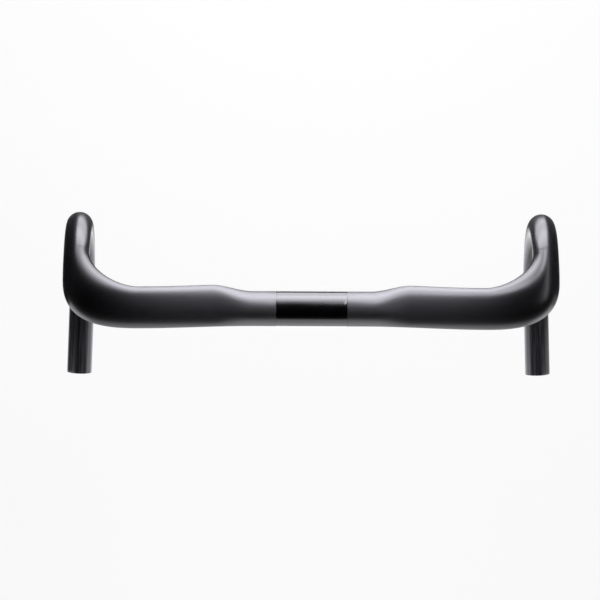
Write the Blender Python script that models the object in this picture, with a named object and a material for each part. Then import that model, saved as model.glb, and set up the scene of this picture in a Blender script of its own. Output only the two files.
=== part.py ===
"""Carbon drop handlebar with wing-shaped tops, as separate bonded pieces.

Frame: origin at the middle of the stem clamp, +X to the rider's right, +Y forward, +Z up.
The right half is worked out once as a path with cross-sections, and the left half mirrors it.
"""
import bisect
import math

import bmesh
import bpy
from mathutils import Vector

MM = 0.001

# Driving sizes of the bar
CLAMP_DIAMETER = 31.8 * MM
TUBE_DIAMETER = 23.8 * MM
HOOD_WIDTH = 427.0 * MM
REACH = 77.0 * MM
DROP = 126.0 * MM
TAIL = 62.7 * MM
END_SPLAY = 8.3 * MM
SPLAY_EASE = 0.2
DROP_SLOPE = math.radians(6.0)

# Wing-shaped tops
NECK_START = 54.0 * MM
NECK_END = 91.0 * MM
WING_BULGE = 6.2 * MM
WING_SWEEP = 2.55 * MM
WING_THICKNESS = 19.5 * MM
WING_PITCH = math.radians(9.0)
WING_TAPER = 0.12

# Bend from the tops into the ramps
BEND_RUN = 56.0 * MM
INNER_CORNER_END = 49.0 * MM
OUTER_CORNER_END = 28.0 * MM
INNER_SQUARENESS = 1.7
OUTER_SQUARENESS = 2.7
ROUND_FROM = 0.8
SEAM_Y = 51.0 * MM
SEAM_PITCH = math.radians(25.0)
RAMP_POWER = 4.0

# Walls and inner pieces
TOP_WALL = 2.4 * MM
DROP_WALL = 2.1 * MM
SLEEVE_WALL = 1.4 * MM
SLEEVE_INSERT = 12.0 * MM
BOND_WIDTH = 0.8 * MM
BOND_INSET = 0.15 * MM
CORE_WALL = 1.6 * MM
CORE_LENGTH = 58.0 * MM
BAND_LENGTH = 64.0 * MM
BAND_THICKNESS = 0.5 * MM
CLEARANCE = 0.3 * MM

# Cable ports in the underside, closed by rubber plugs
PORT_LENGTH = 12.0 * MM
PORT_WIDTH = 8.6 * MM
PLUG_STANDOUT = 0.7 * MM
PLUG_CHAMFER = 0.5 * MM
EXIT_PORT_X = 45.0 * MM
ENTRY_PORT_ALONG = 0.62

# Facets
SEGMENTS = 24
PORT_SEGMENTS = 20
NECK_STEPS = 8
WING_STEPS = 4
BEND_STEPS = 14
HOOK_STEPS = 6
SWEEP_STEPS = 9
SLEEVE_STEPS = 6
EDGE_STEPS = 400
PATH_STEP = 0.2 * MM

CLAMP_RADIUS = CLAMP_DIAMETER / 2
TUBE_RADIUS = TUBE_DIAMETER / 2
HOOD_X = HOOD_WIDTH / 2
BEND_START = HOOD_X - BEND_RUN


def ease(start, end, value):
    """Smooth step from 0 at start to 1 at end."""
    t = min(max((value - start) / (end - start), 0.0), 1.0)
    return t * t * (3.0 - 2.0 * t)


def sweep_back(x):
    """How far the tops lie behind the clamp's axis."""
    return WING_SWEEP * ease(NECK_START, BEND_START, x)


def front_edge(x):
    return CLAMP_RADIUS + WING_BULGE * ease(NECK_START, NECK_END, x) - sweep_back(x)


def rear_edge(x):
    return -CLAMP_RADIUS - sweep_back(x)


def bend_edge(start_y, end_x, end_y, squareness):
    """Edge of the bend seen from above, round a corner to the seam: its points and running length."""
    power = 2.0 / squareness
    points = []
    for step in range(EDGE_STEPS + 1):
        angle = step / EDGE_STEPS * math.pi / 2
        across = (end_x - BEND_START) * math.sin(angle) ** power
        ahead = (end_y - start_y) * (1.0 - max(math.cos(angle), 0.0) ** power)
        points.append(Vector((BEND_START + across, start_y + ahead, 0.0)))
    points.append(Vector((end_x, SEAM_Y, 0.0)))
    lengths = [0.0]
    for first, second in zip(points, points[1:]):
        lengths.append(lengths[-1] + (second - first).length)
    return points, lengths


def edge_point(edge, along):
    """Point of an edge, where along runs from 0 at the bend's start to 1 at the seam."""
    points, lengths = edge
    target = along * lengths[-1]
    index = min(max(bisect.bisect_left(lengths, target), 1), len(points) - 1)
    span = lengths[index] - lengths[index - 1]
    return points[index - 1].lerp(points[index], (target - lengths[index - 1]) / span)


INNER_EDGE = bend_edge(front_edge(BEND_START), HOOD_X - TUBE_RADIUS, INNER_CORNER_END, INNER_SQUARENESS)
OUTER_EDGE = bend_edge(rear_edge(BEND_START), HOOD_X + TUBE_RADIUS, OUTER_CORNER_END, OUTER_SQUARENESS)
BEND_LENGTH = (INNER_EDGE[1][-1] + OUTER_EDGE[1][-1]) / 2
RAMP_FALL = BEND_LENGTH * math.tan(SEAM_PITCH) / RAMP_POWER


def bend_point(along):
    """Point of the bend's centre line, midway between its edges and falling towards the seam."""
    middle = (edge_point(INNER_EDGE, along) + edge_point(OUTER_EDGE, along)) / 2
    fall = RAMP_FALL * max(along, 0.0) ** RAMP_POWER
    return middle - Vector((0.0, 0.0, fall))


HOOK_RADIUS = (REACH - SEAM_Y) / (1.0 - math.sin(SEAM_PITCH))
HOOK_ANGLE = math.pi / 2 - SEAM_PITCH
FRONT_Z = -RAMP_FALL - HOOK_RADIUS * math.cos(SEAM_PITCH)
SWEEP_RADIUS = (
    (DROP + FRONT_Z - (REACH + TAIL) * math.tan(DROP_SLOPE))
    * math.cos(DROP_SLOPE) / (1.0 - math.sin(DROP_SLOPE))
)
SWEEP_ANGLE = math.pi / 2 - DROP_SLOPE
STRAIGHT_LENGTH = (REACH + TAIL - SWEEP_RADIUS * (1.0 - math.sin(DROP_SLOPE))) / math.cos(DROP_SLOPE)
HOOK_LENGTH = HOOK_RADIUS * HOOK_ANGLE
SWEEP_LENGTH = SWEEP_RADIUS * SWEEP_ANGLE
DROP_LENGTH = HOOK_LENGTH + SWEEP_LENGTH + STRAIGHT_LENGTH


def splay(share):
    """Outward shift of the drop, easing in from the seam and then straight."""
    if share < SPLAY_EASE:
        grown = share * share / (2.0 * SPLAY_EASE)
    else:
        grown = share - SPLAY_EASE / 2
    return END_SPLAY * grown / (1.0 - SPLAY_EASE / 2)


def drop_point(distance):
    """Point of the drop's centre line at a distance past the seam: hook, wide curve, straight."""
    in_hook = min(distance, HOOK_LENGTH)
    in_sweep = min(max(distance - HOOK_LENGTH, 0.0), SWEEP_LENGTH)
    in_straight = max(distance - HOOK_LENGTH - SWEEP_LENGTH, 0.0)
    heading = SEAM_PITCH + in_hook / HOOK_RADIUS
    y = SEAM_Y + HOOK_RADIUS * (math.sin(heading) - math.sin(SEAM_PITCH))
    z = -RAMP_FALL - HOOK_RADIUS * (math.cos(SEAM_PITCH) - math.cos(heading))
    turned = in_sweep / SWEEP_RADIUS
    y -= SWEEP_RADIUS * (1.0 - math.cos(turned)) + in_straight * math.cos(DROP_SLOPE)
    z -= SWEEP_RADIUS * math.sin(turned) + in_straight * math.sin(DROP_SLOPE)
    return Vector((HOOD_X + splay(max(distance, 0.0) / DROP_LENGTH), y, z))


def path_point(distance):
    """Point at a distance past the seam, or before it where the distance is negative."""
    if distance < 0.0:
        return bend_point(1.0 + distance / BEND_LENGTH)
    return drop_point(distance)


def section(centre, forward, side, half_width, half_height, taper=0.0, pitch=0.0):
    """One closed ring: an oval, thicker towards its front by taper and pitched about the path.
    Its width is kept as seen from above."""
    side = (side - forward * side.dot(forward)).normalized()
    up = forward.cross(side)
    long_half = math.sqrt(half_width ** 2 - (half_height * math.sin(pitch)) ** 2) / math.cos(pitch)
    ring = []
    for index in range(SEGMENTS):
        angle = 2.0 * math.pi * (index + 0.5) / SEGMENTS
        p = long_half * math.cos(angle)
        q = half_height * math.sin(angle) * (1.0 + taper * math.cos(angle))
        across = p * math.cos(pitch) - q * math.sin(pitch)
        above = p * math.sin(pitch) + q * math.cos(pitch)
        ring.append(centre + side * across + up * above)
    return ring


def tops_ring(x, inset):
    """Section of the clamp, neck or wing at a distance from the middle."""
    wing = ease(NECK_START, NECK_END, x)
    middle = (front_edge(x) + rear_edge(x)) / 2
    half_width = (front_edge(x) - rear_edge(x)) / 2
    half_height = CLAMP_RADIUS + (WING_THICKNESS / 2 - CLAMP_RADIUS) * wing
    return section(
        Vector((x, middle, 0.0)), Vector((1.0, 0.0, 0.0)), Vector((0.0, 1.0, 0.0)),
        half_width - inset, half_height - inset,
        WING_TAPER * wing, WING_PITCH * ease(NECK_START, BEND_START, x),
    )


def bend_height(along):
    return WING_THICKNESS + (TUBE_DIAMETER - WING_THICKNESS) * ease(0.0, ROUND_FROM, along)


def direction(point_at, place, step):
    """Forward direction of a path at a place on it."""
    return (point_at(place + step) - point_at(place - step)).normalized()


def bend_ring(along, inset):
    """Section of the bend that spans its two edges."""
    span = edge_point(INNER_EDGE, along) - edge_point(OUTER_EDGE, along)
    side = span.normalized()
    slope = RAMP_POWER * RAMP_FALL / BEND_LENGTH * along ** (RAMP_POWER - 1.0)
    forward = Vector((side.y, -side.x, -slope)).normalized()
    wing = 1.0 - ease(0.0, ROUND_FROM, along)
    return section(
        bend_point(along), forward, side,
        span.length / 2 - inset, bend_height(along) / 2 - inset,
        WING_TAPER * wing, WING_PITCH * wing,
    )


def tube_ring(distance, radius):
    """Round section at a distance past the seam, on the bend's side where it is negative."""
    forward = direction(path_point, distance, PATH_STEP)
    return section(path_point(distance), forward, Vector((-1.0, 0.0, 0.0)), radius, radius)


def mirrored(ring):
    return [Vector((-point.x, point.y, point.z)) for point in ring]


def both_sides(half_rings):
    """Rings of the right half, from the middle outwards, with the left half put before them."""
    return [mirrored(ring) for ring in reversed(half_rings)] + half_rings


def material(name, colour, roughness, metallic=0.0):
    made = bpy.data.materials.new(name)
    made.use_nodes = True
    shader = made.node_tree.nodes["Principled BSDF"]
    shader.inputs["Base Color"].default_value = (*colour, 1.0)
    shader.inputs["Roughness"].default_value = roughness
    shader.inputs["Metallic"].default_value = metallic
    return made


def add_object(name, builder, surface):
    """Turn a bmesh into a named object with its faces outwards."""
    bmesh.ops.recalc_face_normals(builder, faces=builder.faces)
    mesh = bpy.data.meshes.new(name)
    builder.to_mesh(mesh)
    builder.free()
    if surface:
        mesh.materials.append(surface)
    made = bpy.data.objects.new(name, mesh)
    bpy.context.scene.collection.objects.link(made)
    return made


def join_rings(builder, first, second):
    count = len(first)
    for index in range(count):
        following = (index + 1) % count
        builder.faces.new((first[index], first[following], second[following], second[index]))


def hollow_loft(name, outer, inner, surface):
    """Tube between an outer and an inner stack of rings that share their end planes."""
    builder = bmesh.new()
    stacks = []
    for rings in (outer, inner):
        stacks.append([[builder.verts.new(point) for point in ring] for ring in rings])
    for rings in stacks:
        for first, second in zip(rings, rings[1:]):
            join_rings(builder, first, second)
    for end in (0, -1):
        join_rings(builder, stacks[0][end], stacks[1][end])
    return add_object(name, builder, surface)


def solid_loft(name, rings, surface):
    builder = bmesh.new()
    stack = [[builder.verts.new(point) for point in ring] for ring in rings]
    for first, second in zip(stack, stack[1:]):
        join_rings(builder, first, second)
    builder.faces.new(stack[0])
    builder.faces.new(stack[-1])
    return add_object(name, builder, surface)


def even_steps(start, end, count):
    return [start + (end - start) * step / count for step in range(count + 1)]


def tops_rings(inset):
    """Right half of the tops and bend: plain clamp and wing, then the bend to its seam."""
    rings = [tops_ring(x, inset) for x in even_steps(NECK_START, NECK_END, NECK_STEPS)]
    rings += [tops_ring(x, inset) for x in even_steps(NECK_END, BEND_START, WING_STEPS)[1:-1]]
    end = BOND_WIDTH / 2 + CLEARANCE
    last = 1.0 - end / BEND_LENGTH
    rings += [bend_ring(along, inset) for along in even_steps(0.0, last, BEND_STEPS)[:-1]]
    return rings + [tube_ring(-end, TUBE_RADIUS - inset)]


def make_top_section(surface):
    """Hollow wing from seam to seam, with a shallow groove that the clamp band fills."""
    groove_end = BAND_LENGTH / 2 + CLEARANCE
    groove_depth = BAND_THICKNESS + CLEARANCE
    groove = [tops_ring(groove_end, groove_depth), tops_ring(groove_end, 0.0)]
    outer = both_sides(groove + tops_rings(0.0))
    inner = both_sides(tops_rings(TOP_WALL))
    return hollow_loft("top_section", outer, inner, surface)


def port_places():
    """Name, middle on the underside and long direction of each cable port on the right half."""
    under_exit = Vector((EXIT_PORT_X, 0.0, -CLAMP_RADIUS))
    under_entry = bend_point(ENTRY_PORT_ALONG) - Vector((0.0, 0.0, bend_height(ENTRY_PORT_ALONG) / 2))
    heading = direction(bend_point, ENTRY_PORT_ALONG, PATH_STEP / BEND_LENGTH)
    level = Vector((heading.x, heading.y, 0.0)).normalized()
    return [("exit_port_plug", under_exit, Vector((1.0, 0.0, 0.0))), ("entry_port_plug", under_entry, level)]


def port_ring(centre, along, height, inset):
    """Level oval of a port at a height above its middle, smaller than the port by inset."""
    across = Vector((-along.y, along.x, 0.0))
    ring = []
    for index in range(PORT_SEGMENTS):
        angle = 2.0 * math.pi * index / PORT_SEGMENTS
        p = (PORT_LENGTH / 2 - inset) * math.cos(angle)
        q = (PORT_WIDTH / 2 - inset) * math.sin(angle)
        ring.append(centre + along * p + across * q + Vector((0.0, 0.0, height)))
    return ring


def make_ports(top_section, rubber):
    """Cut the four ports through the lower wall and seat a chamfered plug in each."""
    inside = TOP_WALL + PLUG_STANDOUT
    for kind, centre, along in port_places():
        face = port_ring(centre, along, -PLUG_STANDOUT, CLEARANCE + PLUG_CHAMFER)
        shoulder = port_ring(centre, along, PLUG_CHAMFER - PLUG_STANDOUT, CLEARANCE)
        back = port_ring(centre, along, inside, CLEARANCE)
        cut = [port_ring(centre, along, height, 0.0) for height in (-2 * inside, 2 * inside)]
        for side in ("right", "left"):
            flip = mirrored if side == "left" else list
            name = f"{side}_{kind}"
            solid_loft(name, [flip(ring) for ring in (face, shoulder, back)], rubber)
            cutter = solid_loft(f"{name}_cutter", [flip(ring) for ring in cut], None)
            cutter.hide_render = True
            cutter.display_type = "WIRE"
            port = top_section.modifiers.new(name, "BOOLEAN")
            port.operation = "DIFFERENCE"
            port.solver = "EXACT"
            port.object = cutter


def clamp_sleeve(name, length, inset, wall, surface):
    """Round sleeve about the clamp's axis, with its outside inset from the clamp's surface."""
    ends = (-length / 2, length / 2)
    outer = [tops_ring(x, inset) for x in ends]
    inner = [tops_ring(x, inset + wall) for x in ends]
    hollow_loft(name, outer, inner, surface)


def drop_places():
    """Distances along the drop at which it has a section, from the seam to its open end."""
    start = BOND_WIDTH / 2 + CLEARANCE
    places = even_steps(start, HOOK_LENGTH, HOOK_STEPS)
    places += even_steps(HOOK_LENGTH, HOOK_LENGTH + SWEEP_LENGTH, SWEEP_STEPS)[1:]
    return places + [DROP_LENGTH]


def make_side(side, drop_surface, sleeve_surface, bond_surface):
    """Drop, bonding sleeve and bond line of one side."""
    flip = mirrored if side == "left" else list
    bore = TUBE_RADIUS - DROP_WALL
    outer = [flip(tube_ring(place, TUBE_RADIUS)) for place in drop_places()]
    inner = [flip(tube_ring(place, bore)) for place in drop_places()]
    hollow_loft(f"{side}_drop", outer, inner, drop_surface)

    sleeve_radius = min(bore, TUBE_RADIUS - TOP_WALL) - CLEARANCE
    places = even_steps(-SLEEVE_INSERT, SLEEVE_INSERT, SLEEVE_STEPS)
    outer = [flip(tube_ring(place, sleeve_radius)) for place in places]
    inner = [flip(tube_ring(place, sleeve_radius - SLEEVE_WALL)) for place in places]
    hollow_loft(f"{side}_joint_sleeve", outer, inner, sleeve_surface)

    places = (-BOND_WIDTH / 2, BOND_WIDTH / 2)
    outer = [flip(tube_ring(place, TUBE_RADIUS - BOND_INSET)) for place in places]
    inner = [flip(tube_ring(place, sleeve_radius + CLEARANCE)) for place in places]
    hollow_loft(f"{side}_bond_line", outer, inner, bond_surface)


def main():
    for old in list(bpy.data.objects):
        bpy.data.objects.remove(old)
    satin = material("satin_carbon", (0.018, 0.018, 0.019), 0.38)
    gloss = material("gloss_carbon", (0.014, 0.014, 0.015), 0.22)
    band = material("clamp_coat", (0.008, 0.008, 0.008), 0.2)
    bare = material("bare_carbon", (0.03, 0.03, 0.032), 0.5)
    resin = material("bond_resin", (0.035, 0.034, 0.032), 0.45)
    rubber = material("plug_rubber", (0.02, 0.02, 0.02), 0.75)
    top_section = make_top_section(satin)
    make_ports(top_section, rubber)
    clamp_sleeve("clamp_band", BAND_LENGTH, 0.0, BAND_THICKNESS, band)
    clamp_sleeve("clamp_core", CORE_LENGTH, TOP_WALL + CLEARANCE, CORE_WALL, bare)
    for side in ("left", "right"):
        make_side(side, gloss, bare, resin)


main()
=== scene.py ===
"""Looks of the carbon drop handlebar: fine smooth pieces over the solids, finishes, light and camera."""
import bisect
import math

import bmesh
import bpy
from mathutils import Matrix, Vector
from mathutils.bvhtree import BVHTree
from mathutils.kdtree import KDTree


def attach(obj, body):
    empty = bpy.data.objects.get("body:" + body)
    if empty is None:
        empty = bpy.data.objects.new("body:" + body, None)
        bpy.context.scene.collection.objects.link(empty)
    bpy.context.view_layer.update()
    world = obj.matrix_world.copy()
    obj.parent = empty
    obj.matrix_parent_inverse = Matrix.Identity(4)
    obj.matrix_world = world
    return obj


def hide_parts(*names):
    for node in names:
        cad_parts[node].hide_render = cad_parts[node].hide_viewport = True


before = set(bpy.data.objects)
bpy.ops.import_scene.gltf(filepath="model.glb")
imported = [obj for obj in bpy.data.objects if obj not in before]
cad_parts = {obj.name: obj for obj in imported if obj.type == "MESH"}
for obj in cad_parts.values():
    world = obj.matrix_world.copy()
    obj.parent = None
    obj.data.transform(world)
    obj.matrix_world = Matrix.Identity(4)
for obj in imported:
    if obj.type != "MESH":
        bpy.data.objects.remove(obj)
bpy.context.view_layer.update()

MM = 0.001

# Sizes of the bar, as in the part's source
CLAMP_RADIUS = 15.9 * MM
TUBE_RADIUS = 11.9 * MM
HOOD_X = 213.5 * MM
REACH = 77.0 * MM
DROP = 126.0 * MM
TAIL = 62.7 * MM
END_SPLAY = 8.3 * MM
SPLAY_EASE = 0.2
DROP_SLOPE = math.radians(6.0)
NECK_START = 54.0 * MM
NECK_END = 91.0 * MM
WING_BULGE = 6.2 * MM
WING_SWEEP = 2.55 * MM
WING_THICKNESS = 19.5 * MM
WING_PITCH = math.radians(9.0)
WING_TAPER = 0.12
BEND_START = HOOD_X - 56.0 * MM
INNER_CORNER_END = 49.0 * MM
OUTER_CORNER_END = 28.0 * MM
INNER_SQUARENESS = 1.7
OUTER_SQUARENESS = 2.7
ROUND_FROM = 0.8
SEAM_Y = 51.0 * MM
SEAM_PITCH = math.radians(25.0)
RAMP_POWER = 4.0
TOP_WALL = 2.4 * MM
DROP_WALL = 2.1 * MM
BAND_HALF = 32.0 * MM
BAND_THICKNESS = 0.5 * MM
BOND_HALF = 0.4 * MM
BOND_BORE = 9.5 * MM
PORT_HALF_LENGTH = 6.0 * MM
PORT_HALF_WIDTH = 4.3 * MM
EXIT_PORT_X = 45.0 * MM
ENTRY_PORT_ALONG = 0.62

# Fineness of the pieces, and the small steps at their edges
SEGMENTS = 96
PORT_SEGMENTS = 72
NECK_STEPS = 26
WING_STEPS = 16
BEND_STEPS = 64
HOOK_STEPS = 30
SWEEP_STEPS = 44
STRAIGHT_STEPS = 16
BAND_STEPS = 24
EDGE_STEPS = 2000
PATH_STEP = 0.2 * MM
FINE_GAP = 0.05 * MM
LIP = 0.18 * MM
SEAM_LIP = 0.08 * MM
BAND_LIP = 0.12 * MM
LIP_MIDDLE = 0.3
SUPPORT = 0.06 * MM
RESIN_DEPTH = 0.02 * MM
BARE_EDGE = 2.3 * MM
BORE_CHAMFER = 0.25 * MM
TUBE_SHARP = math.radians(32)
PLUG_SHARP = math.radians(50)

# Cut end of a drop: distance back from the end and depth below the skin, in mm
END_PROFILE = ((2.24, 0.06), (0.4, 0.06), (0.12, 0.16), (0.0, 0.42))

# Plug profile: inset from the port's edge and height above the bar's skin, in mm
PLUG_PROFILE = (
    (0.12, -0.4), (0.12, 0.25), (0.2, 0.45), (0.38, 0.62), (0.65, 0.7), (1.3, 0.7),
    (1.55, 0.64), (1.8, 0.5), (2.1, 0.42), (2.8, 0.4), (3.4, 0.4), (3.9, 0.4),
)

# Heights: inner ends of the plugs, both ends of the cut for a port, and a place below the bar
PLUG_TOPS = {"exit_port_plug": -12.8 * MM, "entry_port_plug": -8.5 * MM}
PORT_CUT = (-30.0 * MM, -4.0 * MM)
BELOW_BAR = -100.0 * MM

# How much of the fine detail the noise patterns keep
NOISE_ROUGHNESS = 0.55


def ease(start, end, value):
    """Smooth step from 0 at start to 1 at end."""
    t = min(max((value - start) / (end - start), 0.0), 1.0)
    return t * t * (3.0 - 2.0 * t)


def sweep_back(x):
    return WING_SWEEP * ease(NECK_START, BEND_START, x)


def front_edge(x):
    return CLAMP_RADIUS + WING_BULGE * ease(NECK_START, NECK_END, x) - sweep_back(x)


def rear_edge(x):
    return -CLAMP_RADIUS - sweep_back(x)


def bend_edge(start_y, end_x, end_y, squareness):
    """Edge of the bend seen from above, round a corner to the seam: its points and running length."""
    power = 2.0 / squareness
    points = []
    for step in range(EDGE_STEPS + 1):
        angle = step / EDGE_STEPS * math.pi / 2
        across = (end_x - BEND_START) * math.sin(angle) ** power
        ahead = (end_y - start_y) * (1.0 - max(math.cos(angle), 0.0) ** power)
        points.append(Vector((BEND_START + across, start_y + ahead, 0.0)))
    points.append(Vector((end_x, SEAM_Y, 0.0)))
    lengths = [0.0]
    for first, second in zip(points, points[1:]):
        lengths.append(lengths[-1] + (second - first).length)
    return points, lengths


def edge_point(edge, along):
    points, lengths = edge
    target = along * lengths[-1]
    index = min(max(bisect.bisect_left(lengths, target), 1), len(points) - 1)
    span = lengths[index] - lengths[index - 1]
    return points[index - 1].lerp(points[index], (target - lengths[index - 1]) / span)


INNER_EDGE = bend_edge(front_edge(BEND_START), HOOD_X - TUBE_RADIUS, INNER_CORNER_END, INNER_SQUARENESS)
OUTER_EDGE = bend_edge(rear_edge(BEND_START), HOOD_X + TUBE_RADIUS, OUTER_CORNER_END, OUTER_SQUARENESS)
BEND_LENGTH = (INNER_EDGE[1][-1] + OUTER_EDGE[1][-1]) / 2
RAMP_FALL = BEND_LENGTH * math.tan(SEAM_PITCH) / RAMP_POWER


def bend_point(along):
    middle = (edge_point(INNER_EDGE, along) + edge_point(OUTER_EDGE, along)) / 2
    return middle - Vector((0.0, 0.0, RAMP_FALL * max(along, 0.0) ** RAMP_POWER))


HOOK_RADIUS = (REACH - SEAM_Y) / (1.0 - math.sin(SEAM_PITCH))
FRONT_Z = -RAMP_FALL - HOOK_RADIUS * math.cos(SEAM_PITCH)
SWEEP_RADIUS = (
    (DROP + FRONT_Z - (REACH + TAIL) * math.tan(DROP_SLOPE))
    * math.cos(DROP_SLOPE) / (1.0 - math.sin(DROP_SLOPE))
)
STRAIGHT_LENGTH = (REACH + TAIL - SWEEP_RADIUS * (1.0 - math.sin(DROP_SLOPE))) / math.cos(DROP_SLOPE)
HOOK_LENGTH = HOOK_RADIUS * (math.pi / 2 - SEAM_PITCH)
SWEEP_LENGTH = SWEEP_RADIUS * (math.pi / 2 - DROP_SLOPE)
DROP_LENGTH = HOOK_LENGTH + SWEEP_LENGTH + STRAIGHT_LENGTH


def splay(share):
    if share < SPLAY_EASE:
        grown = share * share / (2.0 * SPLAY_EASE)
    else:
        grown = share - SPLAY_EASE / 2
    return END_SPLAY * grown / (1.0 - SPLAY_EASE / 2)


def drop_point(distance):
    """Point of the drop's centre line at a distance past the seam: hook, wide curve, straight."""
    in_hook = min(distance, HOOK_LENGTH)
    in_sweep = min(max(distance - HOOK_LENGTH, 0.0), SWEEP_LENGTH)
    in_straight = max(distance - HOOK_LENGTH - SWEEP_LENGTH, 0.0)
    heading = SEAM_PITCH + in_hook / HOOK_RADIUS
    y = SEAM_Y + HOOK_RADIUS * (math.sin(heading) - math.sin(SEAM_PITCH))
    z = -RAMP_FALL - HOOK_RADIUS * (math.cos(SEAM_PITCH) - math.cos(heading))
    turned = in_sweep / SWEEP_RADIUS
    y -= SWEEP_RADIUS * (1.0 - math.cos(turned)) + in_straight * math.cos(DROP_SLOPE)
    z -= SWEEP_RADIUS * math.sin(turned) + in_straight * math.sin(DROP_SLOPE)
    return Vector((HOOD_X + splay(max(distance, 0.0) / DROP_LENGTH), y, z))


def path_point(distance):
    if distance < 0.0:
        return bend_point(1.0 + distance / BEND_LENGTH)
    return drop_point(distance)


def section(centre, forward, side, half_width, half_height, taper=0.0, pitch=0.0):
    """One closed ring: an oval, thicker towards its front by taper and pitched about the path.
    Its width is kept as seen from above."""
    side = (side - forward * side.dot(forward)).normalized()
    up = forward.cross(side)
    long_half = math.sqrt(half_width ** 2 - (half_height * math.sin(pitch)) ** 2) / math.cos(pitch)
    ring = []
    for index in range(SEGMENTS):
        angle = 2.0 * math.pi * (index + 0.5) / SEGMENTS
        p = long_half * math.cos(angle)
        q = half_height * math.sin(angle) * (1.0 + taper * math.cos(angle))
        across = p * math.cos(pitch) - q * math.sin(pitch)
        above = p * math.sin(pitch) + q * math.cos(pitch)
        ring.append(centre + side * across + up * above)
    return ring


def tops_ring(x, inset):
    wing = ease(NECK_START, NECK_END, x)
    middle = (front_edge(x) + rear_edge(x)) / 2
    half_width = (front_edge(x) - rear_edge(x)) / 2
    half_height = CLAMP_RADIUS + (WING_THICKNESS / 2 - CLAMP_RADIUS) * wing
    return section(
        Vector((x, middle, 0.0)), Vector((1.0, 0.0, 0.0)), Vector((0.0, 1.0, 0.0)),
        half_width - inset, half_height - inset,
        WING_TAPER * wing, WING_PITCH * ease(NECK_START, BEND_START, x),
    )


def bend_height(along):
    return WING_THICKNESS + (2 * TUBE_RADIUS - WING_THICKNESS) * ease(0.0, ROUND_FROM, along)


def bend_ring(along, inset):
    span = edge_point(INNER_EDGE, along) - edge_point(OUTER_EDGE, along)
    side = span.normalized()
    slope = RAMP_POWER * RAMP_FALL / BEND_LENGTH * along ** (RAMP_POWER - 1.0)
    forward = Vector((side.y, -side.x, -slope)).normalized()
    wing = 1.0 - ease(0.0, ROUND_FROM, along)
    return section(
        bend_point(along), forward, side,
        span.length / 2 - inset, bend_height(along) / 2 - inset,
        WING_TAPER * wing, WING_PITCH * wing,
    )


def tube_ring(distance, radius):
    ahead = path_point(distance + PATH_STEP) - path_point(distance - PATH_STEP)
    return section(
        path_point(distance), ahead.normalized(), Vector((-1.0, 0.0, 0.0)), radius, radius
    )


def even_steps(start, end, count):
    return [start + (end - start) * step / count for step in range(count + 1)]


def mirrored(ring):
    return [Vector((-point.x, point.y, point.z)) for point in ring]


def finish_mesh(name, builder, surface, lengths):
    """Turn a bmesh into a smooth named object that carries coordinates round and along the tube."""
    bmesh.ops.recalc_face_normals(builder, faces=builder.faces)
    mesh = bpy.data.meshes.new(name)
    builder.to_mesh(mesh)
    builder.free()
    mesh.materials.append(surface)
    tube = mesh.attributes.new("tube", "FLOAT_VECTOR", "POINT")
    for index, length in enumerate(lengths):
        angle = 2.0 * math.pi * (index % SEGMENTS + 0.5) / SEGMENTS
        tube.data[index].vector = (
            TUBE_RADIUS * math.cos(angle), TUBE_RADIUS * math.sin(angle), length
        )
    mesh.shade_smooth()
    mesh.set_sharp_from_angle(angle=TUBE_SHARP)
    made = bpy.data.objects.new(name, mesh)
    bpy.context.scene.collection.objects.link(made)
    return made


def ring_loop(name, rings, surface):
    """Closed shell through rings that go out along the outside and come back along the bore.
    Each ring is given with its length along the bar."""
    builder = bmesh.new()
    lengths = []
    stack = []
    for ring, length in rings:
        stack.append([builder.verts.new(point) for point in ring])
        lengths += [length] * len(ring)
    for first, second in zip(stack, stack[1:] + stack[:1]):
        for index in range(SEGMENTS):
            after = (index + 1) % SEGMENTS
            builder.faces.new((first[index], first[after], second[after], second[index]))
    return finish_mesh(name, builder, surface, lengths)


def half_tops(inset):
    """Right half of the tops and bend from the neck to just short of the seam, with lengths."""
    rings = []
    for x in even_steps(NECK_START, NECK_END, NECK_STEPS):
        rings.append((tops_ring(x, inset), x))
    for x in even_steps(NECK_END, BEND_START, WING_STEPS)[1:-1]:
        rings.append((tops_ring(x, inset), x))
    end = BOND_HALF + FINE_GAP + SEAM_LIP
    support = end + SUPPORT
    for along in even_steps(0.0, 1.0 - support / BEND_LENGTH, BEND_STEPS)[:-1]:
        rings.append((bend_ring(along, inset), BEND_START + along * BEND_LENGTH))
    for back in (support, end):
        rings.append((tube_ring(-back, TUBE_RADIUS - inset), BEND_START + BEND_LENGTH - back))
    return rings


def both_sides(half_rings):
    left = [(mirrored(ring), -length) for ring, length in reversed(half_rings)]
    return left + half_rings


def make_top_section(surface):
    """Wing from seam to seam with a groove for the clamp band and softened lips at its ends."""
    groove = BAND_HALF + FINE_GAP
    depth = BAND_THICKNESS + FINE_GAP
    start = [
        (tops_ring(groove, depth), groove),
        (tops_ring(groove, LIP), groove),
        (tops_ring(groove + LIP_MIDDLE * LIP, LIP_MIDDLE * LIP), groove),
        (tops_ring(groove + LIP, 0.0), groove + LIP),
    ]
    seam = BOND_HALF + FINE_GAP
    length = BEND_START + BEND_LENGTH
    lip = [
        (tube_ring(-seam - LIP_MIDDLE * SEAM_LIP, TUBE_RADIUS - LIP_MIDDLE * SEAM_LIP), length),
        (tube_ring(-seam, TUBE_RADIUS - SEAM_LIP), length),
        (tube_ring(-seam, TUBE_RADIUS - TOP_WALL), length),
    ]
    outside = both_sides(start + half_tops(0.0) + lip)
    inside = both_sides(half_tops(TOP_WALL))
    return ring_loop("top_section_fine", outside + inside[::-1], surface)


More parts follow.
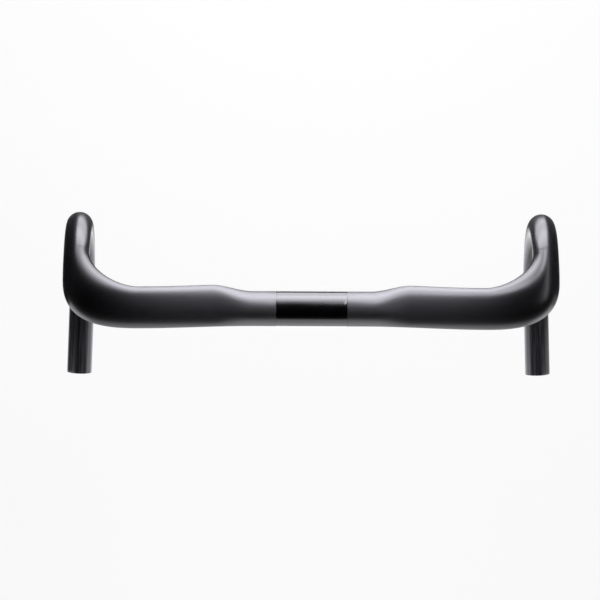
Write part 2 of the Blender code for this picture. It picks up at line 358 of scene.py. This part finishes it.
def make_drop(side, surface):
    """Drop from the seam to its cut end, where the lacquer stops short of the bare edge."""
    flip = mirrored if side == "left" else list
    seam = BOND_HALF + FINE_GAP
    bore = TUBE_RADIUS - DROP_WALL
    places = [
        (seam, TUBE_RADIUS - SEAM_LIP),
        (seam + LIP_MIDDLE * SEAM_LIP, TUBE_RADIUS - LIP_MIDDLE * SEAM_LIP),
        (seam + SEAM_LIP, TUBE_RADIUS),
    ]
    smooth = even_steps(seam + SEAM_LIP + SUPPORT, HOOK_LENGTH, HOOK_STEPS)
    smooth += even_steps(HOOK_LENGTH, HOOK_LENGTH + SWEEP_LENGTH, SWEEP_STEPS)[1:]
    smooth += even_steps(HOOK_LENGTH + SWEEP_LENGTH, DROP_LENGTH - BARE_EDGE, STRAIGHT_STEPS)[1:]
    places += [(place, TUBE_RADIUS) for place in smooth]
    places += [(DROP_LENGTH - back * MM, TUBE_RADIUS - depth * MM) for back, depth in END_PROFILE]
    places += [(DROP_LENGTH, bore + BORE_CHAMFER), (DROP_LENGTH - BORE_CHAMFER, bore)]
    places += [(place, bore) for place in smooth[::-1]]
    places.append((seam, bore))
    rings = [(flip(tube_ring(place, radius)), place) for place, radius in places]
    return ring_loop(f"{side}_drop_fine", rings, surface)


def make_bond_line(side, surface):
    """Thin ring of adhesive in the seam, a little below the skin."""
    flip = mirrored if side == "left" else list
    face = TUBE_RADIUS - RESIN_DEPTH
    ahead = [
        (BOND_HALF - SEAM_LIP - SUPPORT, face),
        (BOND_HALF - SEAM_LIP, face),
        (BOND_HALF, face - SEAM_LIP),
        (BOND_HALF, BOND_BORE),
    ]
    behind = [(-place, radius) for place, radius in reversed(ahead)]
    rings = [(flip(tube_ring(place, radius)), place) for place, radius in behind + ahead]
    return ring_loop(f"{side}_bond_line_fine", rings, surface)


def make_band(surface):
    """Thin clamp band with rounded edges, flush with the bar."""
    middle = LIP_MIDDLE * BAND_LIP
    places = [(-BAND_HALF, BAND_LIP), (-BAND_HALF + middle, middle)]
    places += [(x, 0.0) for x in even_steps(-BAND_HALF + BAND_LIP, BAND_HALF - BAND_LIP, BAND_STEPS)]
    places += [(BAND_HALF - middle, middle), (BAND_HALF, BAND_LIP)]
    places += [(BAND_HALF, BAND_THICKNESS), (-BAND_HALF, BAND_THICKNESS)]
    rings = [(tops_ring(x, inset), x) for x, inset in places]
    return ring_loop("clamp_band_fine", rings, surface)


def port_places():
    """Kind, middle and long direction of each cable port on the right half."""
    step = PATH_STEP / BEND_LENGTH
    heading = bend_point(ENTRY_PORT_ALONG + step) - bend_point(ENTRY_PORT_ALONG - step)
    level = Vector((heading.x, heading.y, 0.0)).normalized()
    return [
        ("exit_port_plug", Vector((EXIT_PORT_X, 0.0, 0.0)), Vector((1.0, 0.0, 0.0))),
        ("entry_port_plug", bend_point(ENTRY_PORT_ALONG), level),
    ]


def port_oval(centre, along, inset):
    across = Vector((-along.y, along.x, 0.0))
    points = []
    for index in range(PORT_SEGMENTS):
        angle = 2.0 * math.pi * index / PORT_SEGMENTS
        p = (PORT_HALF_LENGTH - inset) * math.cos(angle)
        q = (PORT_HALF_WIDTH - inset) * math.sin(angle)
        points.append(centre + along * p + across * q)
    return points


def under_surface(tree, point):
    """Height of the bar's underside straight above a place on the floor."""
    hit = tree.ray_cast(Vector((point.x, point.y, BELOW_BAR)), Vector((0.0, 0.0, 1.0)))
    return hit[0].z


def at_height(ring, height):
    return [Vector((point.x, point.y, height)) for point in ring]


def capped_stack(name, rings, surface):
    """Solid through rings of any size with a flat face at each end."""
    builder = bmesh.new()
    stack = [[builder.verts.new(point) for point in ring] for ring in rings]
    for first, second in zip(stack, stack[1:]):
        for index in range(len(first)):
            after = (index + 1) % len(first)
            builder.faces.new((first[index], first[after], second[after], second[index]))
    builder.faces.new(stack[0])
    builder.faces.new(stack[-1])
    bmesh.ops.recalc_face_normals(builder, faces=builder.faces)
    mesh = bpy.data.meshes.new(name)
    builder.to_mesh(mesh)
    builder.free()
    if surface:
        mesh.materials.append(surface)
    mesh.shade_smooth()
    mesh.set_sharp_from_angle(angle=PLUG_SHARP)
    made = bpy.data.objects.new(name, mesh)
    bpy.context.scene.collection.objects.link(made)
    return made


def copy_tube_coordinates(source, target):
    """Give a cut mesh the tube coordinates of the nearest points that it was cut from."""
    known = KDTree(len(source.vertices))
    for vertex in source.vertices:
        known.insert(vertex.co, vertex.index)
    known.balance()
    values = source.attributes["tube"].data
    wanted = target.attributes["tube"].data
    for vertex in target.vertices:
        wanted[vertex.index].vector = values[known.find(vertex.co)[1]].vector


def make_ports(top_section, rubber):
    """Cut the ports through the lower wall and seat a dished rubber plug in each."""
    tree = BVHTree.FromObject(top_section, bpy.context.evaluated_depsgraph_get())
    plugs = []
    cutters = []
    for kind, centre, along in port_places():
        for side in ("right", "left"):
            flip = mirrored if side == "left" else list
            gap = PLUG_PROFILE[0][0] * MM
            rings = [at_height(flip(port_oval(centre, along, gap)), PLUG_TOPS[kind])]
            for inset, height in PLUG_PROFILE:
                ring = flip(port_oval(centre, along, inset * MM))
                rings.append([
                    Vector((p.x, p.y, under_surface(tree, p) - height * MM)) for p in ring
                ])
            plugs.append((f"{side}_{kind}", capped_stack(f"{side}_{kind}_fine", rings, rubber)))
            oval = flip(port_oval(centre, along, 0.0))
            slices = [at_height(oval, height) for height in PORT_CUT]
            cutter = capped_stack(f"{side}_{kind}_cut", slices, None)
            cutters.append(cutter)
            port = top_section.modifiers.new(kind, "BOOLEAN")
            port.operation = "DIFFERENCE"
            port.solver = "EXACT"
            port.object = cutter
    graph = bpy.context.evaluated_depsgraph_get()
    cut_mesh = bpy.data.meshes.new_from_object(top_section.evaluated_get(graph))
    copy_tube_coordinates(top_section.data, cut_mesh)
    top_section.modifiers.clear()
    top_section.data = cut_mesh
    for cutter in cutters:
        bpy.data.objects.remove(cutter)
    return plugs


def calculate(tree, operation, *values):
    """Result of one operation on node outputs and plain numbers."""
    made = tree.nodes.new("ShaderNodeMath")
    made.operation = operation
    for place, value in zip(made.inputs, values):
        if isinstance(value, float):
            place.default_value = value
        else:
            tree.links.new(value, place)
    return made.outputs[0]


def map_range(tree, value, target, source, kind="LINEAR"):
    """A value moved from a source range to a target range and kept inside it."""
    made = tree.nodes.new("ShaderNodeMapRange")
    made.interpolation_type = kind
    made.inputs["From Min"].default_value, made.inputs["From Max"].default_value = source
    made.inputs["To Min"].default_value, made.inputs["To Max"].default_value = target
    tree.links.new(value, made.inputs["Value"])
    return made.outputs["Result"]


class Finish:
    """A material with short calls for its nodes. Its own colour and roughness stand in wherever the
    patterns are not read."""

    def __init__(self, name, colour, roughness, specular=0.5):
        self.material = bpy.data.materials.new(name)
        self.material.use_nodes = True
        self.tree = self.material.node_tree
        self.shader = self.tree.nodes["Principled BSDF"]
        self.shader.inputs["Base Color"].default_value = (*colour, 1.0)
        self.shader.inputs["Roughness"].default_value = roughness
        self.shader.inputs["Specular IOR Level"].default_value = specular

    def tube(self):
        """Coordinates round the tube and along it."""
        source = self.tree.nodes.new("ShaderNodeAttribute")
        source.attribute_name = "tube"
        return source.outputs["Vector"]

    def stretched(self, share):
        """Tube coordinates that draw a pattern out along the bar, to 1 / share of its length."""
        mapping = self.tree.nodes.new("ShaderNodeMapping")
        mapping.inputs["Scale"].default_value = (1.0, 1.0, share)
        self.tree.links.new(self.tube(), mapping.inputs["Vector"])
        return mapping.outputs["Vector"]

    def space(self):
        return self.tree.nodes.new("ShaderNodeTexCoord").outputs["Object"]

    def distance_along(self):
        """Distance along the bar from its middle or from the seam, on either side."""
        parts = self.tree.nodes.new("ShaderNodeSeparateXYZ")
        self.tree.links.new(self.tube(), parts.inputs["Vector"])
        return calculate(self.tree, "ABSOLUTE", parts.outputs["Z"])

    def noise(self, vector, scale, detail):
        made = self.tree.nodes.new("ShaderNodeTexNoise")
        made.inputs["Scale"].default_value = scale
        made.inputs["Detail"].default_value = detail
        made.inputs["Roughness"].default_value = NOISE_ROUGHNESS
        self.tree.links.new(vector, made.inputs["Vector"])
        return made.outputs["Fac"]

    def spread(self, value, target=(0.0, 1.0), source=(0.3, 0.7), kind="LINEAR"):
        """Map a pattern onto a range. The usual source is where most of a noise lies."""
        return map_range(self.tree, value, target, source, kind)

    def sum(self, first, second):
        return calculate(self.tree, "ADD", first, second)

    def blend_colours(self, value, first, second):
        """Mix of two colours, each written out or taken from another node."""
        made = self.tree.nodes.new("ShaderNodeMix")
        made.data_type = "RGBA"
        for place, colour in (("A", first), ("B", second)):
            if isinstance(colour, tuple):
                made.inputs[place].default_value = (*colour, 1.0)
            else:
                self.tree.links.new(colour, made.inputs[place])
        self.tree.links.new(value, made.inputs["Factor"])
        return made.outputs["Result"]

    def bump(self, height, distance, below=None):
        made = self.tree.nodes.new("ShaderNodeBump")
        made.inputs["Strength"].default_value = 1.0
        made.inputs["Distance"].default_value = distance
        self.tree.links.new(height, made.inputs["Height"])
        if below:
            self.tree.links.new(below, made.inputs["Normal"])
        return made.outputs["Normal"]

    def to_shader(self, colour, roughness, normal):
        for name, output in (("Base Color", colour), ("Roughness", roughness), ("Normal", normal)):
            self.tree.links.new(output, self.shader.inputs[name])
        return self.material


def satin_finish():
    """Satin lacquer over carbon: charcoal matt along the tops, partly its own tone and partly painted
    sheen, black and glossier in the bends, with fine grain, faint fibre streaks along the bar and slow
    unevenness."""
    # The charcoal colour is partly painted sheen.
    finish = Finish("satin_carbon_fine", (0.06, 0.06, 0.063), 0.33, specular=0.65)
    fibres = finish.noise(finish.stretched(0.03), scale=900.0, detail=4.0)
    slow = finish.noise(finish.stretched(0.35), scale=60.0, detail=2.0)
    grain = finish.noise(finish.space(), scale=3200.0, detail=2.0)
    distance = finish.distance_along()
    # Charcoal with faint fibre streaks; the charcoal is partly painted sheen.
    streaks_with_painted_sheen = finish.blend_colours(finish.spread(fibres), (0.062, 0.062, 0.065), (0.078, 0.078, 0.082))
    # Charcoal along the tops fading to black in the bends: the lighter tops are partly painted sheen.
    painted_sheen_fade = finish.spread(distance, source=(0.12, 0.205), kind="SMOOTHSTEP")
    colour = finish.blend_colours(painted_sheen_fade, streaks_with_painted_sheen, (0.0015, 0.0015, 0.002))
    smoother = finish.spread(distance, target=(0.37, 0.297), source=(0.09, 0.18))
    rough = finish.sum(smoother, finish.spread(slow, target=(-0.015, 0.015)))
    normal = finish.bump(grain, 0.008 * MM)
    normal = finish.bump(fibres, 0.006 * MM, below=normal)
    return finish.to_shader(colour, rough, normal)


def gloss_finish():
    """Glossier lacquer over lengthwise carbon fibre, with pale streaks that wander slowly and grow paler
    towards the drop's end; the streaks are partly the fibre and partly painted reflections."""
    finish = Finish("gloss_carbon_fine", (0.02, 0.021, 0.024), 0.296, specular=0.65)
    streaks = finish.noise(finish.stretched(0.02), scale=420.0, detail=4.0)
    fibres = finish.noise(finish.stretched(0.03), scale=1600.0, detail=3.0)
    waves = finish.noise(finish.stretched(0.12), scale=130.0, detail=2.0)
    distance = finish.distance_along()
    paler = finish.sum(streaks, finish.spread(distance, target=(0.0, 0.16), source=(0.18, 0.3)))
    # Pale streaks, paler towards the drop's end: partly the fibre's tone, partly painted reflections.
    streaks_with_painted_sheen = finish.blend_colours(
        finish.spread(paler, source=(0.46, 0.74)), (0.004, 0.0042, 0.005), (0.115, 0.119, 0.128)
    )
    from_seam = finish.spread(distance, source=(0.02, 0.12))
    colour = finish.blend_colours(from_seam, (0.0015, 0.0015, 0.0018), streaks_with_painted_sheen)
    rough = finish.spread(streaks, target=(0.282, 0.31))
    normal = finish.bump(waves, 0.09 * MM)
    normal = finish.bump(fibres, 0.006 * MM, below=normal)
    return finish.to_shader(colour, rough, normal)


def band_finish():
    """Deep black smooth coat of the clamp zone with a hint of fine texture."""
    finish = Finish("clamp_coat_fine", (0.001, 0.001, 0.0012), 0.22, specular=0.7)
    speckle = finish.noise(finish.space(), scale=2600.0, detail=2.0)
    slow = finish.noise(finish.stretched(0.5), scale=90.0, detail=2.0)
    colour = finish.blend_colours(
        finish.spread(speckle), (0.0007, 0.0007, 0.0008), (0.0012, 0.0012, 0.0013)
    )
    rough = finish.spread(slow, target=(0.21, 0.24))
    return finish.to_shader(colour, rough, finish.bump(speckle, 0.003 * MM))


def resin_finish():
    """Dark mottled adhesive of the seams."""
    finish = Finish("bond_resin_fine", (0.005, 0.005, 0.005), 0.3, specular=0.7)
    mottle = finish.noise(finish.space(), scale=900.0, detail=3.0)
    colour = finish.blend_colours(finish.spread(mottle), (0.003, 0.003, 0.003), (0.008, 0.008, 0.0078))
    rough = finish.spread(mottle, target=(0.285, 0.32))
    return finish.to_shader(colour, rough, finish.bump(mottle, 0.004 * MM))


def rubber_finish():
    """Dull moulded rubber of the port plugs, a little dusty."""
    finish = Finish("plug_rubber_fine", (0.02, 0.02, 0.02), 0.72)
    grain = finish.noise(finish.space(), scale=2400.0, detail=3.0)
    dust = finish.noise(finish.space(), scale=260.0, detail=3.0)
    colour = finish.blend_colours(finish.spread(dust), (0.016, 0.016, 0.016), (0.028, 0.028, 0.027))
    rough = finish.spread(dust, target=(0.66, 0.8))
    return finish.to_shader(colour, rough, finish.bump(grain, 0.02 * MM))


def bare_finish():
    """Unlacquered twill-woven carbon of the pieces inside the bar."""
    finish = Finish("bare_carbon_fine", (0.03, 0.03, 0.032), 0.5)
    weave = finish.tree.nodes.new("ShaderNodeTexWave")
    weave.bands_direction = "DIAGONAL"
    weave.inputs["Scale"].default_value = 160.0
    weave.inputs["Distortion"].default_value = 1.5
    finish.tree.links.new(finish.space(), weave.inputs["Vector"])
    pattern = weave.outputs["Fac"]
    colour = finish.blend_colours(pattern, (0.018, 0.018, 0.019), (0.05, 0.05, 0.052))
    rough = finish.spread(pattern, target=(0.42, 0.58), source=(0.0, 1.0))
    return finish.to_shader(colour, rough, finish.bump(pattern, 0.05 * MM))


def dress(piece, node):
    """Put a fine piece in the place of the node that it stands for."""
    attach(piece, "root")
    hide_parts(node)


satin = satin_finish()
gloss = gloss_finish()
coat = band_finish()
resin = resin_finish()
rubber = rubber_finish()
bare = bare_finish()

top_section = make_top_section(satin)
for plug_node, plug in make_ports(top_section, rubber):
    dress(plug, plug_node)
dress(top_section, "top_section")
dress(make_band(coat), "clamp_band")
for side in ("left", "right"):
    dress(make_drop(side, gloss), f"{side}_drop")
    dress(make_bond_line(side, resin), f"{side}_bond_line")
for hidden in ("clamp_core", "left_joint_sleeve", "right_joint_sleeve"):
    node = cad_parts[hidden]
    node.data.materials.clear()
    node.data.materials.append(bare)

# Camera, straight above the bar
CAMERA_AT = Vector((-0.033, 0.008, 1.8))
CAMERA_AIM = Vector((-0.0104, 0.008, 0.0))
CAMERA_ROLL = math.radians(0.28)
CAMERA_SENSOR = 36.0
CAMERA_LENS = 119.3


def make_camera():
    lens = bpy.data.cameras.new("camera")
    lens.sensor_width = CAMERA_SENSOR
    lens.lens = CAMERA_LENS
    camera = bpy.data.objects.new("camera", lens)
    bpy.context.scene.collection.objects.link(camera)
    back = (CAMERA_AT - CAMERA_AIM).normalized()
    up = Vector((-math.sin(CAMERA_ROLL), math.cos(CAMERA_ROLL), 0.0))
    right = up.cross(back).normalized()
    up = back.cross(right)
    turn = Matrix((right, up, back)).transposed()
    camera.matrix_world = Matrix.Translation(CAMERA_AT) @ turn.to_4x4()
    bpy.context.scene.camera = camera


# Floor: its height, its half width, its paint, and how much of it is white by itself
FLOOR_Z = -0.25
FLOOR_HALF = 20.0
FLOOR_SHADE = 0.9
FLOOR_ROUGHNESS = 0.9
FLOOR_WHITE = 0.92

# Sky: how steep a ray is where the white ends and where the dark starts, the dark level, and the
# share of its light that reaches matt surfaces
SKY_WHITE_TO = 0.12
SKY_DARK_FROM = 0.4
SKY_DARK = 0.004
SKY_LIGHT = 0.1


def seen_rays(tree):
    """1 for rays from the camera, and for those mirrored or let through on their way to it."""
    path = tree.nodes.new("ShaderNodeLightPath")
    seen = path.outputs["Is Camera Ray"]
    for name in ("Is Glossy Ray", "Is Transmission Ray"):
        seen = calculate(tree, "MAXIMUM", seen, path.outputs[name])
    return seen


def matt_paint(name, shade, roughness=1.0):
    paint = bpy.data.materials.new(name)
    paint.use_nodes = True
    shader = paint.node_tree.nodes["Principled BSDF"]
    shader.inputs["Base Color"].default_value = (shade, shade, shade, 1.0)
    shader.inputs["Roughness"].default_value = roughness
    shader.inputs["Specular IOR Level"].default_value = 0.0
    return paint


def flat_object(name, corners, surface):
    mesh = bpy.data.meshes.new(name)
    mesh.from_pydata(corners, [], [tuple(range(len(corners)))])
    mesh.materials.append(surface)
    made = bpy.data.objects.new(name, mesh)
    bpy.context.scene.collection.objects.link(made)
    return made


def level_corners(outline, height):
    return [(x, y, height) for x, y in outline]


def upright_corners(rear, front):
    return [(*rear, FLOOR_Z), (*front, FLOOR_Z), (*front, FLAG_TOP), (*rear, FLAG_TOP)]


def make_floor():
    """White floor that keeps the bar's soft shadow."""
    paint = matt_paint("floor", FLOOR_SHADE, FLOOR_ROUGHNESS)
    tree = paint.node_tree
    white = tree.nodes.new("ShaderNodeEmission")
    white.inputs["Strength"].default_value = 1.0
    mixed = tree.nodes.new("ShaderNodeMixShader")
    tree.links.new(calculate(tree, "MULTIPLY", seen_rays(tree), FLOOR_WHITE), mixed.inputs["Fac"])
    tree.links.new(tree.nodes["Principled BSDF"].outputs["BSDF"], mixed.inputs[1])
    tree.links.new(white.outputs["Emission"], mixed.inputs[2])
    tree.links.new(mixed.outputs["Shader"], tree.nodes["Material Output"].inputs["Surface"])
    far = FLOOR_HALF
    outline = [(-far, -far), (far, -far), (far, far), (-far, far)]
    flat_object("floor", level_corners(outline, FLOOR_Z), paint)


def make_flag(name, corners, shade):
    """Dark card near the bar, seen only in its gloss."""
    flag = flat_object(name, corners, matt_paint(name, shade))
    flag.visible_camera = False
    flag.visible_diffuse = False
    flag.visible_shadow = False


def make_world():
    """White round the horizon for what is seen, and little light of its own."""
    world = bpy.data.worlds.new("studio")
    world.use_nodes = True
    bpy.context.scene.world = world
    tree = world.node_tree
    ray = tree.nodes.new("ShaderNodeTexCoord")
    parts = tree.nodes.new("ShaderNodeSeparateXYZ")
    tree.links.new(ray.outputs["Generated"], parts.inputs["Vector"])
    white = map_range(
        tree, parts.outputs["Z"], (FLOOR_WHITE, SKY_DARK), (SKY_WHITE_TO, SKY_DARK_FROM), "SMOOTHSTEP"
    )
    share = calculate(tree, "MAXIMUM", seen_rays(tree), SKY_LIGHT)
    background = tree.nodes["Background"]
    tree.links.new(calculate(tree, "MULTIPLY", white, share), background.inputs["Strength"])
    background.inputs["Color"].default_value = (1.0, 1.0, 1.0, 1.0)


# Lamps: their colour, and tilt and turn in degrees for each way that they face
COOL_WHITE = (0.93, 0.915, 1.0)
TO_REAR = (-90.0, 0.0)
TO_FRONT = (90.0, 0.0)
TO_LEFT = (90.0, 90.0)
TO_RIGHT = (90.0, -90.0)
UPWARDS = (180.0, 0.0)
LEFT_ALONG_FLAG = (90.0, 103.4)
REAR_AND_DOWN = (-67.0, 0.0)

# Heights of the flag and the lamps that lie just over the floor, and of the upright flags' tops
FLAG_Z = FLOOR_Z + 0.004
CARD_Z = FLOOR_Z + 0.005
FLAG_TOP = 0.4

# Outline of the flag on the floor
FLOOR_FLAG = (
    (-0.8, 0.08), (0.8, 0.08), (0.8, 0.6), (0.31, 0.6),
    (0.29, 0.285), (-0.23, 0.285), (-0.25, 0.6), (-0.8, 0.6),
)

# Large softbox in front: place, width, and lower edge, upper edge and level of each row
SOFTBOX_X = 0.03
SOFTBOX_Y = 0.38
SOFTBOX_WIDTH = 0.54
SOFTBOX_ROWS = (
    (-0.245, -0.06, 5.5), (-0.06, 0.0, 9.0), (0.0, 0.16, 11.0),
    (0.16, 0.245, 8.5), (0.245, 0.36, 5.0), (0.36, 0.52, 1.2),
)


def panel_light(name, place, facing, size, level, shown_in="gloss"):
    """Flat soft light whose brightness is given as a level, where 1 looks white. It is shown in the
    gloss of surfaces, or lights their matt colour, or both."""
    width, height = size
    tilt, turn = facing
    lamp = bpy.data.lights.new(name, "AREA")
    lamp.shape = "RECTANGLE"
    lamp.size = width
    lamp.size_y = height
    lamp.energy = level * math.pi * width * height
    lamp.color = COOL_WHITE
    made = bpy.data.objects.new(name, lamp)
    made.location = place
    made.rotation_euler = (math.radians(tilt), 0.0, math.radians(turn))
    made.visible_camera = False
    made.visible_diffuse = shown_in != "gloss"
    made.visible_glossy = shown_in != "matt"
    bpy.context.scene.collection.objects.link(made)


make_camera()
make_floor()
make_world()
make_flag("left_flag", upright_corners(rear=(-0.40, -0.1), front=(-0.26, 0.39)), shade=0.13)
make_flag("right_flag", upright_corners(rear=(0.42, -0.03), front=(0.32, 0.39)), shade=0.2)
make_flag("floor_flag", level_corners(FLOOR_FLAG, FLAG_Z), shade=0.2)
for row, (low, high, level) in enumerate(SOFTBOX_ROWS):
    middle = (SOFTBOX_X, SOFTBOX_Y, (low + high) / 2)
    panel_light(f"front_softbox_{row}", middle, TO_REAR, (SOFTBOX_WIDTH, high - low), level)
panel_light("right_softbox", (0.135, 0.375, 0.45), TO_REAR, size=(0.1, 0.3), level=12.0)
panel_light("right_side_card", (0.382, 0.1, 0.33), LEFT_ALONG_FLAG, size=(0.44, 0.05), level=7.0)
panel_light("front_floor_card", (0.03, 0.33, CARD_Z), UPWARDS, size=(0.5, 0.08), level=3.0)
panel_light("rear_card", (0.0, -0.75, 0.0), TO_FRONT, size=(0.8, 0.5), level=0.9)
panel_light("under_card", (0.0, -0.03, CARD_Z), UPWARDS, size=(0.46, 0.18), level=1.5)
panel_light("left_card", (-0.42, -0.3, -0.1), TO_RIGHT, size=(0.38, 0.29), level=2.2)
panel_light("right_card", (0.42, -0.3, -0.1), TO_LEFT, size=(0.38, 0.29), level=2.2)
panel_light("rear_floor_card", (0.0, -0.52, CARD_Z), UPWARDS, size=(0.8, 0.44), level=1.0, shown_in="both")
panel_light("front_key", (0.03, 0.6, 0.25), REAR_AND_DOWN, size=(0.6, 0.36), level=10.5, shown_in="matt")
panel_light("rear_fill", (0.0, -0.6, -0.13), TO_FRONT, size=(0.8, 0.22), level=2.0, shown_in="matt")
bpy.context.scene.view_settings.view_transform = "Standard"
